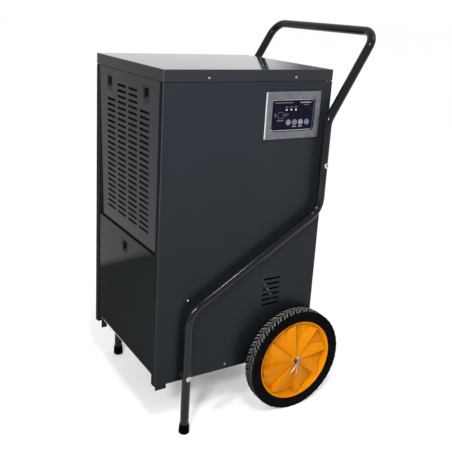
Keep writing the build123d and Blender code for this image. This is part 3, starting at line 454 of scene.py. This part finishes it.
# The front corner folds get the painted highlight
for name in ("left_side_panel", "right_side_panel", "top_cover"):
    second_finish(name, painted_fold_highlight, on_corner_fold)
# The bezel's front-facing edge gets the pale painted highlight
second_finish("control_bezel", painted_edge_highlight, faces_forward(BEZEL_FRONT))

# ------------------------------------------------------------------ mesh helpers


def piece(name, shape, material, body, replaced=(), smooth=None):
    """A mesh piece in the shared frame, riding on a body; smooth is the angle its edges are split at."""
    mesh = bpy.data.meshes.new(name)
    mesh.from_pydata([tuple(v) for v in shape.verts], [], shape.faces)
    bm = bmesh.new()
    bm.from_mesh(mesh)
    bmesh.ops.recalc_face_normals(bm, faces=bm.faces)
    bm.to_mesh(mesh)
    bm.free()
    mesh.materials.append(material)
    made = bpy.data.objects.new(name, mesh)
    scene.collection.objects.link(made)
    if smooth is not None:
        for p in mesh.polygons:
            p.use_smooth = True
        edges = made.modifiers.new("edges", "EDGE_SPLIT")
        edges.split_angle = math.radians(smooth)
    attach(made, body)
    if replaced:
        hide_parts(*replaced)


# Faces of a block whose eight corners are listed as two loops of four
BLOCK_FACES = [(0, 1, 2, 3), (4, 5, 6, 7), (0, 1, 5, 4), (1, 2, 6, 5), (2, 3, 7, 6), (3, 0, 4, 7)]


class Shape:
    """Collects vertices and faces of one piece."""

    def __init__(self):
        self.verts = []
        self.faces = []

    def add(self, verts, faces):
        base = len(self.verts)
        self.verts.extend(verts)
        self.faces.extend([tuple(base + i for i in f) for f in faces])

    def ring_skin(self, rings, closed_ends=False, wrap=False):
        """Joins equal-length closed rings of points by quads."""
        count = len(rings[0])
        flat = [p for ring in rings for p in ring]
        faces = []
        last = len(rings) if wrap else len(rings) - 1
        for a in range(last):
            b = (a + 1) % len(rings)
            for i in range(count):
                j = (i + 1) % count
                faces.append((a * count + i, a * count + j, b * count + j, b * count + i))
        if closed_ends:
            faces.append(tuple(range(count)))
            faces.append(tuple((len(rings) - 1) * count + i for i in range(count)))
        self.add(flat, faces)

    def box(self, low, high):
        (x0, y0, z0), (x1, y1, z1) = low, high
        self.add([(x, y, z) for z in (z0, z1) for x, y in ((x0, y0), (x1, y0), (x1, y1), (x0, y1))], BLOCK_FACES)


def spun(profile, centre, axis, steps):
    """Rings of a closed profile [(along, radius)] turned about an axis through centre."""
    axis = Vector(axis).normalized()
    across = axis.orthogonal().normalized()
    other = axis.cross(across)
    rings = []
    for step in range(steps):
        a = 2 * math.pi * step / steps
        out = across * math.cos(a) + other * math.sin(a)
        rings.append([Vector(centre) + axis * along + out * radius for along, radius in profile])
    return rings


def wire(points, radius, sides=12):
    """Rings of a round wire through points."""
    points = [Vector(p) for p in points]
    turns = [2 * math.pi * k / sides for k in range(sides)]
    rings = []
    side = None
    for i, p in enumerate(points):
        before = points[max(i - 1, 0)]
        after = points[min(i + 1, len(points) - 1)]
        along = (after - before).normalized()
        if side is None:
            side = along.orthogonal().normalized()
        else:
            side = (side - along * side.dot(along)).normalized()
        third = along.cross(side)
        rings.append([p + (side * math.cos(t) + third * math.sin(t)) * radius for t in turns])
    return rings


# ------------------------------------------------------------------ wheels

# Millimetres from the middle plane of the machine, and from the axle
WHEEL_MIDDLE = 248.5
WHEEL_RADIUS = 150.0
SHOULDER = 17.0
SIDEWALLS = (267.6, 229.4)
TREAD_PITCHES = 84
HUB_BLADES = 8


def wheel_point(side, x, radius, angle):
    """x in millimetres from the middle plane, angle anticlockwise as seen from outside."""
    y = side * math.cos(angle) * radius * MM
    return Vector((side * x * MM, AXLE.y + y, AXLE.z + math.sin(angle) * radius * MM))


def wheel_rings(side, profile, steps):
    """Rings of a profile [(x, radius)] in millimetres, turned about the axle."""
    turns = [2 * math.pi * step / steps for step in range(steps)]
    return [[wheel_point(side, x, r, a) for x, r in profile] for a in turns]


def tyre_shape(side):
    """A tyre with two rows of leaning blocks, a broken middle rib and a line on each sidewall."""
    s = Shape()
    half = [
        (260.4, 112.4), (261.6, 119.0), (265.2, 119.0), (266.8, 120.2), (267.6, 122.5), (267.9, 126), (267.9, 133),
        (267.4, 134.5), (267.4, 142), (267.9, 143.5), (267.9, 147.2), (267.2, 148.1), (264.0, 148.3), (256.0, 148.3),
    ]
    carcass = half + [(2 * WHEEL_MIDDLE - x, r) for x, r in reversed(half)]
    s.ring_skin(wheel_rings(side, carcass, 160), wrap=True)

    def crown(x):
        """The tread falls away a little outside its flat middle."""
        return WHEEL_RADIUS - max(0.0, abs(x - WHEEL_MIDDLE) - SHOULDER) * 0.5

    pitch = 2 * math.pi / TREAD_PITCHES

    def block(x0, x1, start, length, lean):
        """A tread block, slightly narrower at its top than at its foot."""
        corners = []
        for shrink, lift in ((0.0, -3.0), (0.35, 0.0)):
            grow = shrink / WHEEL_RADIUS
            dx = math.copysign(shrink, x1 - x0)
            for x, a in (
                (x0 + dx, start + grow), (x1 - dx, start + lean + grow),
                (x1 - dx, start + length + lean - grow), (x0 + dx, start + length - grow),
            ):
                corners.append(wheel_point(side, x, crown(x) + lift, a))
        s.add(corners, BLOCK_FACES)

    for k in range(TREAD_PITCHES):
        a = k * pitch
        near, far = (7.8, 19.2) if k % 2 else (5.0, 15.4)
        for way, shift in ((1, 0.0), (-1, 0.5)):
            at = a + shift * pitch
            block(WHEEL_MIDDLE + way * near, WHEEL_MIDDLE + way * far, at, 0.56 * pitch, 0.55 * pitch)
            block(WHEEL_MIDDLE + way * 0.6, WHEEL_MIDDLE + way * 4.0, at + 0.1 * pitch, 0.5 * pitch, -0.4 * pitch)
    for x in SIDEWALLS:
        s.ring_skin(wheel_rings(side, ((x - 0.5, 128.7), (x + 0.4, 129.5), (x - 0.5, 130.3)), 120), wrap=True)
    return s


def hub_shape(side):
    """The disc: eight slanting blades like a pinwheel, a hollowed rim band and a ribbed back."""
    s = Shape()
    phase = math.radians(5)
    turn = 2 * math.pi / HUB_BLADES
    inner, far, cut, rim = 15.0, 110.0, 51.0, 111.0
    sweep = math.radians(13)

    def at(r, a, x):
        return wheel_point(side, x, r, a)

    for k in range(HUB_BLADES):
        t0 = phase + k * turn
        t1 = t0 + turn
        # The blade: high along its leading edge, falling away towards the next blade
        lead_in, lead_out = at(inner, t0, 266.6), at(far, t0, 265.0)
        tip, heel = at(106.0, t0 + sweep, 257.5), at(cut, t1, 257.5)
        trail_in = at(inner, t1, 264.0)
        s.add([lead_in, lead_out, tip, heel, trail_in], [(0, 1, 2), (0, 2, 3), (0, 3, 4)])
        # Its end and trailing wall
        lead_foot, tip_foot = at(far, t0, 259.0), at(106.0, t0 + sweep, 253.0)
        s.add([lead_out, lead_foot, tip_foot, tip, heel], [(0, 1, 2, 3), (3, 2, 4)])
        # The low facet behind it, down to the foot of the next blade's leading wall
        arc = [at(rim, t0 + sweep + (turn - sweep) * i / 6, 252.5 - 7.5 * i / 6) for i in range(7)]
        s.add([heel, tip_foot, *arc], [(0, i, i + 1) for i in range(1, 8)])
        start = [at(rim, t0 + sweep * i / 3, 259.0 - 6.0 * i / 3) for i in range(4)]
        s.add([lead_foot, *start, tip_foot], [(0, 1, 2, 3, 4, 5)])
        # The leading wall of the next blade
        s.add(
            [
                at(inner, t1, 266.6), at(far, t1, 265.0), at(rim, t1, 259.0), at(rim, t1, 243.0), at(far, t1, 243.0),
                heel, trail_in,
            ],
            [(0, 1, 2, 3, 4, 5, 6)],
        )
    outer = [
        (243.0, 106.6), (255.0, 109.6), (261.5, 112.4), (264.6, 115.0), (265.7, 117.0), (265.6, 118.2), (264.8, 118.7),
        (261.8, 118.7), (260.2, 112.2), (243.0, 112.2),
    ]
    back = [
        (260.2, 112.2), (236.8, 112.2), (235.2, 118.7), (232.2, 118.7), (231.4, 118.2), (231.3, 117.0), (232.4, 115.0),
        (236.0, 110.0), (239.0, 106.0), (247.0, 40.0), (244.0, 17.0), (229.0, 14.0), (229.0, 6.2), (260.0, 6.2),
        (257.0, 15.0), (250.0, 50.0), (242.0, 107.0),
    ]
    nose = [(262.0, 15.2), (266.4, 15.2), (267.5, 13.6), (268.0, 11.8), (268.0, 6.2), (262.0, 6.2)]
    for profile in (outer, back, nose):
        s.ring_skin(wheel_rings(side, profile, 120), wrap=True)
    # Ribs on the back of the disc
    for k in range(HUB_BLADES):
        t = phase + (k + 0.5) * turn
        across = (at(10, t + math.pi / 2, 0) - at(0, t, 0)).normalized()
        edge = ((14, 246), (14, 235), (108, 236), (108, 240))
        verts = [at(r, t, x) + across * half * MM for half in (-1.4, 1.4) for r, x in edge]
        s.add(verts, BLOCK_FACES)
    return s


for side, word in ((1, "right"), (-1, "left")):
    wheel = f"{word}_wheel"
    piece(f"{word}_tyre_treaded", tyre_shape(side), tread_rubber, wheel, (f"{word}_tyre",), smooth=32)
    piece(f"{word}_pinwheel_disc", hub_shape(side), yellow, wheel, (f"{word}_wheel_hub",), smooth=9)

# Split pins: an eye, two legs, one of them bent aside
PIN_X = 0.274
PIN_WIRE = 0.0013
pins = Shape()
for side in (1, -1):
    x = side * PIN_X
    eye = Vector((x, AXLE.y, AXLE.z + 0.0118))
    turns = [math.radians(-152 + 304 * i / 18) for i in range(19)]
    loop = [eye + Vector((0, math.sin(a), math.cos(a))) * 0.004 for a in turns]
    for direction, start in ((Vector((0, 0, -1)), loop[0]), (Vector((0, -0.669, -0.743)), loop[-1])):
        below = Vector((x, start.y * 0.3 + AXLE.y * 0.7, AXLE.z - 0.0075))
        above = Vector((x, below.y, AXLE.z + 0.004))
        path = [start, above, below, below + direction * 0.004, below + direction * 0.029]
        pins.ring_skin(wire(path, PIN_WIRE), closed_ends=True)
    pins.ring_skin(wire(loop, PIN_WIRE), closed_ends=True)
piece("split_pin_wires", pins, zinc, "cabinet", ("split_pins",), smooth=50)

# ------------------------------------------------------------------ screws and bolts


def domed_head(shape, centre, out, radius, height, recess, sides=36):
    """A pan head with a cross or a round socket sunk into it."""
    out = Vector(out)
    u = Vector((0, 0, 1)) if abs(out.z) < 0.5 else Vector((0, 1, 0))
    v = out.cross(u)
    levels = [0.0, 0.1, 0.2, 0.3, 0.4, 0.5, 0.6, 0.72, 0.84, 0.93, 0.98, 1.0, 1.0]
    rings = []
    for n, share in enumerate(levels):
        ring = []
        for i in range(sides):
            a = 2 * math.pi * i / sides
            r = radius * max(share, 0.02)
            du, dv = math.cos(a) * r, math.sin(a) * r
            lift = 0.0 if n == len(levels) - 1 else height * math.sqrt(max(0.0, 1 - (0.93 * share) ** 2.6))
            if recess == "cross" and share <= 0.6 and min(abs(du), abs(dv)) < radius * 0.13:
                lift -= height * 0.45
            if recess == "socket" and share <= 0.42:
                lift -= height * 0.5
            ring.append(Vector(centre) + u * du + v * dv + out * lift)
        rings.append(ring)
    shape.ring_skin(rings, closed_ends=True)


# Radius and height of a screw's and a bolt's head, in metres
SCREW_HEAD = (0.0030, 0.0018)
BOLT_HEAD = (0.0060, 0.0035)
NUT_RADIUS = 0.0075

screws = Shape()
for side in (-1, 1):
    for y, z in ((-0.196, 0.9505), (0.062, 0.9505), (-0.227, 0.378), (-0.103, 0.1645), (0.053, 0.1645)):
        domed_head(screws, (side * 0.2150, y, z), (side, 0, 0), *SCREW_HEAD, "cross")
    for z in (0.19, 0.55, 0.91):
        domed_head(screws, (side * 0.205, 0.183, z), (0, 1, 0), *SCREW_HEAD, "cross")
piece("sheet_screw_heads", screws, zinc, "cabinet", ("cabinet_screws",), smooth=40)

# Frame bolts: washer, socket head, shank through the tube and spacer, and a nut inside the cabinet
bolts = Shape()
washer = [(0.0, 0.0045), (0.0, 0.0074), (0.0012, 0.0074), (0.0012, 0.0045)]
shank = [(0.0, 0.0), (0.0, 0.004), (0.046, 0.004), (0.046, 0.0)]
nut = [(math.cos(math.pi * k / 3) * NUT_RADIUS, math.sin(math.pi * k / 3) * NUT_RADIUS) for k in range(6)]
for side in (-1, 1):
    for y, z in ((-0.232, 0.167), (0.164, 0.715)):
        face = side * 0.2456
        bolts.ring_skin(spun(washer, (face - side * 0.0002, y, z), (side, 0, 0), 40), wrap=True)
        domed_head(bolts, (face + side * 0.001, y, z), (side, 0, 0), *BOLT_HEAD, "socket")
        bolts.ring_skin(spun(shank, (side * 0.2, y, z), (side, 0, 0), 24), wrap=True)
        bolts.ring_skin([[Vector((side * x, y + p, z + q)) for p, q in nut] for x in (0.203, 0.2095)], closed_ends=True)
piece("frame_bolt_set", bolts, zinc, "cabinet", ("frame_bolts",), smooth=40)

# ------------------------------------------------------------------ rubber feet

LEG_X, LEG_Y = 0.2336, -0.232
# Height and radius round the cap and its hollow, in metres
FOOT_PROFILE = [
    (0.0, 0.0), (0.0, 0.0118), (0.0006, 0.0138), (0.0022, 0.0146), (0.0055, 0.0146), (0.0063, 0.0139), (0.0075, 0.0139),
    (0.0083, 0.0145), (0.0120, 0.0143), (0.0128, 0.0137), (0.0140, 0.0137), (0.0148, 0.0142), (0.0240, 0.0139),
    (0.0264, 0.0134), (0.0270, 0.0123), (0.0262, 0.0121), (0.0060, 0.0121), (0.0060, 0.0),
]
for side, word in ((1, "right"), (-1, "left")):
    foot = Shape()
    foot.ring_skin(spun(FOOT_PROFILE, (side * LEG_X, LEG_Y, 0.0), (0, 0, 1), 48), wrap=True)
    piece(f"{word}_foot_cap", foot, rubber, "cabinet", (f"{word}_leg_foot",), smooth=40)

# ------------------------------------------------------------------ control panel details

# Millimetres: the fascia's face, the keys' faces and the height of their row
PANEL_X = 216.5
KEY_FACE = 218.3
KEY_ROW = 834.0
KEYS = {"power_button": 45.6, "mode_button": 65.4, "up_button": 85.2, "down_button": 105.0}


def plate(shape, y0, y1, z0, z1, thick=0.12, x=PANEL_X):
    shape.box((x * MM, y0 * MM, z0 * MM), ((x + thick) * MM, y1 * MM, z1 * MM))


def outline(shape, y0, y1, z0, z1, width):
    plate(shape, y0, y1, z1 - width, z1)
    plate(shape, y0, y1, z0, z0 + width)
    plate(shape, y0, y0 + width, z0 + width, z1 - width)
    plate(shape, y1 - width, y1, z0 + width, z1 - width)


marks = Shape()
bright = Shape()
# Generic dashes where the printed legends are; nothing is spelled out
for k in range(14):
    plate(marks, 0.2 + k * 4.1, 3.2 + k * 4.1, 884.2, 886.9)
for k in range(9):
    plate(bright, 81.5 + k * 3.9, 84.4 + k * 3.9, 884.0, 886.8)
for k in range(5):
    plate(marks, 93.0 + k * 3.4, 95.6 + k * 3.4, 878.4, 880.2)
for centre in (37.9, 52.7, 67.5):
    plate(marks, centre - 5.0, centre - 0.6, 873.0, 875.0)
    plate(marks, centre + 0.2, centre + 4.6, 873.0, 875.0)
for z in (855.0, 850.0):
    plate(marks, 0.5, 7.6, z, z + 1.9)
for z, width in ((854.6, 15.0), (850.6, 8.0)):
    plate(marks, 31.0, 31.0 + width, z, z + 1.6)
plate(marks, 9.4, 30.0, 838.2, 840.4)
for y in (65.4, 85.2):
    plate(bright, y - 6.2, y + 6.2, 821.6, 823.6)
outline(marks, 12.4, 28.4, 844.6, 861.0, 0.7)
piece("panel_legends", marks, print_grey, "cabinet")
piece("panel_legends_bright", bright, print_light, "cabinet")


def rounded(y0, y1, z0, z1, radius, steps=8):
    """Points of a rectangle with rounded corners."""
    points = []
    near_y, far_y, near_z, far_z = y0 + radius, y1 - radius, z0 + radius, z1 - radius
    for cy, cz, start in ((far_y, far_z, 0), (near_y, far_z, 90), (near_y, near_z, 180), (far_y, near_z, 270)):
        for i in range(steps + 1):
            a = math.radians(start + 90 * i / steps)
            points.append((cy + radius * math.cos(a), cz + radius * math.sin(a)))
    return points


def frame_ring(shape, y0, y1, z0, z1, radius, width, x0, x1):
    """A flat frame with rounded corners."""
    outer = rounded(y0, y1, z0, z1, radius)
    inner = rounded(y0 + width, y1 - width, z0 + width, z1 - width, radius - width)
    rings = []
    for ring, x in ((outer, x0), (outer, x1), (inner, x1), (inner, x0)):
        rings.append([Vector((x * MM, y * MM, z * MM)) for y, z in ring])
    shape.ring_skin(rings, wrap=True)


# A thin bright line follows the fascia inside its edge
line = Shape()
frame_ring(line, -8.4, 125.4, 812.9, 893.1, 7.4, 0.9, PANEL_X, PANEL_X + 0.12)
piece("panel_border_line", line, polished_edge, "cabinet")



def turned_mark(shape, y, profile, steps):
    """A raised round mark on a key, from a profile [(height, radius)] in millimetres."""
    centre = (KEY_FACE * MM, y * MM, KEY_ROW * MM)
    shape.ring_skin(spun([(a * MM, r * MM) for a, r in profile], centre, (1, 0, 0), steps), wrap=True)


# Icons on the keys: a plain ring with a dot, two bars or a triangle in it
for body, y in KEYS.items():
    icon = Shape()
    turned_mark(icon, y, [(0.0, 6.0), (0.10, 6.0), (0.10, 6.7), (0.0, 6.7)], 40)
    if body == "power_button":
        turned_mark(icon, y, [(0.0, 0.0), (0.12, 0.0), (0.12, 1.9), (0.0, 1.9)], 24)
    elif body == "mode_button":
        for low in (KEY_ROW - 1.6, KEY_ROW + 1.0):
            plate(icon, y - 2.4, y + 2.4, low, low + 0.8, 0.1, KEY_FACE)
    else:
        tip = 2.6 if body == "up_button" else -2.6
        flat = [(y - 2.8, KEY_ROW - tip * 0.6), (y + 2.8, KEY_ROW - tip * 0.6), (y, KEY_ROW + tip)]
        layers = [[Vector((x * MM, p * MM, q * MM)) for p, q in flat] for x in (KEY_FACE, KEY_FACE + 0.1)]
        icon.ring_skin(layers, closed_ends=True)
    piece(f"{body}_mark", icon, print_light, body)

# ------------------------------------------------------------------ floor, light, camera

FLOOR_REACH = 60.0
# The floor lies just under the feet and tyres
FLOOR_Z = -0.0005


def link(name, data):
    """Puts new data into the scene as an object."""
    made = bpy.data.objects.new(name, data)
    scene.collection.objects.link(made)
    return made


def aim(lamp, direction):
    lamp.rotation_mode = "QUATERNION"
    lamp.rotation_quaternion = direction.to_track_quat("-Z", "Y")


floor_finish = Finish("studio_floor")
floor_tone = floor_finish.spread(floor_finish.noise(1.5, 2.0), 0.0, 1.0)
floor_finish.colour(floor_finish.blend(floor_tone, (0.95, 0.95, 0.955), (0.97, 0.97, 0.972)))
floor_finish.roughness(floor_finish.spread(floor_finish.noise(6.0), 0.85, 0.95))
floor_mesh = bpy.data.meshes.new("floor")
corners = [(x * FLOOR_REACH, y * FLOOR_REACH, FLOOR_Z) for x, y in ((-1, -1), (1, -1), (1, 1), (-1, 1))]
floor_mesh.from_pydata(corners, [], [(0, 1, 2, 3)])
floor_mesh.materials.append(floor_finish.material)
floor = link("floor", floor_mesh)

world = bpy.data.worlds.new("studio")
scene.world = world
world.use_nodes = True
sky_nodes = world.node_tree.nodes
join_sky = world.node_tree.links.new
direction = sky_nodes.new("ShaderNodeTexCoord").outputs["Generated"]


def towards(heading):
    """How far a direction points along a heading."""
    node = sky_nodes.new("ShaderNodeVectorMath")
    node.operation = "DOT_PRODUCT"
    node.inputs[1].default_value = heading
    join_sky(direction, node.inputs[0])
    return node.outputs["Value"]


def ramp(value, start, stop, low, high):
    """A level that goes from low to high while the value goes from start to stop."""
    node = sky_nodes.new("ShaderNodeMapRange")
    for socket, number in (("From Min", start), ("From Max", stop), ("To Min", low), ("To Max", high)):
        node.inputs[socket].default_value = number
    join_sky(value, node.inputs["Value"])
    return node.outputs["Result"]


def paired(operation, first, second):
    node = sky_nodes.new("ShaderNodeMath")
    node.operation = operation
    join_sky(first, node.inputs[0])
    join_sky(second, node.inputs[1])
    return node.outputs[0]


# The surround is brighter behind the machine, as seen from the camera
general = ramp(towards((-0.80, 0.60, 0.0)), -0.2, 0.55, 0.7, 1.03)
# One sector of it is darker, between two headings and from just over the horizon to some twenty degrees up
aside = towards((-0.559, -0.829, 0.0))
height = towards((0.0, 0.0, 1.0))
edge = ramp(aside, -0.065, -0.005, 0.2, 1.0)
beyond = ramp(aside, -0.4, -0.3, 1.0, 0.0)
horizon = ramp(height, 0.026, 0.042, 1.0, 0.0)
overhead = ramp(height, 0.3, 0.4, 0.0, 1.0)
outside = paired("MAXIMUM", paired("MAXIMUM", horizon, overhead), beyond)
strength = paired("MULTIPLY", general, paired("MAXIMUM", edge, outside))
sky = sky_nodes["Background"]
join_sky(strength, sky.inputs["Strength"])
sky.inputs["Color"].default_value = (1.0, 1.0, 1.0, 1.0)

key_light = bpy.data.lights.new("key", "SUN")
key_light.energy = 0.9
key_light.angle = math.radians(22)
aim(link("key", key_light), -Vector((0.45, 0.45, 0.80)))

# Two small lamps make the streaks along the tube, and a narrow one lights the right wheel
spark = bpy.data.lights.new("spark", "AREA")
spark.size = 0.4
spark.energy = 60.0
streak = bpy.data.lights.new("streak", "AREA")
streak.size = 0.3
streak.energy = 25.0
rake = bpy.data.lights.new("rake", "SPOT")
rake.energy = 430.0
rake.shadow_soft_size = 0.2
rake.spot_size = math.radians(8.5)
rake.spot_blend = 0.7
for light, place, target in (
    (spark, (2.03, -2.0, 1.95), (0.23, -0.1, 0.5)),
    (streak, (1.73, -0.84, 2.93), (0.23, -0.03, 0.47)),
    (rake, (1.5, -3.0, 2.0), (0.27, 0.106, 0.16)),
):
    lamp = link(light.name, light)
    lamp.location = place
    aim(lamp, Vector(target) - Vector(place))

# The photograph's viewpoint, solved from the cabinet's edges
AZIMUTH, ELEVATION, ROLL = math.radians(58.14), math.radians(15.59), math.radians(3.37)
VIEWPOINT = Vector((1.593, -0.9878, 1.1197))
LENS, SENSOR_WIDTH, SHIFT = 52.80, 36.0, -0.0796
right = Vector((math.cos(AZIMUTH), math.sin(AZIMUTH), 0))
back = Vector((math.sin(AZIMUTH) * math.cos(ELEVATION), -math.cos(AZIMUTH) * math.cos(ELEVATION), math.sin(ELEVATION)))
up = back.cross(right)
cam_x = right * math.cos(ROLL) + up * math.sin(ROLL)
cam_y = up * math.cos(ROLL) - right * math.sin(ROLL)
camera_data = bpy.data.cameras.new("camera")
camera_data.sensor_width = SENSOR_WIDTH
camera_data.lens = LENS
camera_data.shift_y = SHIFT
camera = link("camera", camera_data)
turned = Matrix((cam_x, cam_y, back)).transposed().to_4x4()
turned.translation = VIEWPOINT
camera.matrix_world = turned
scene.camera = camera
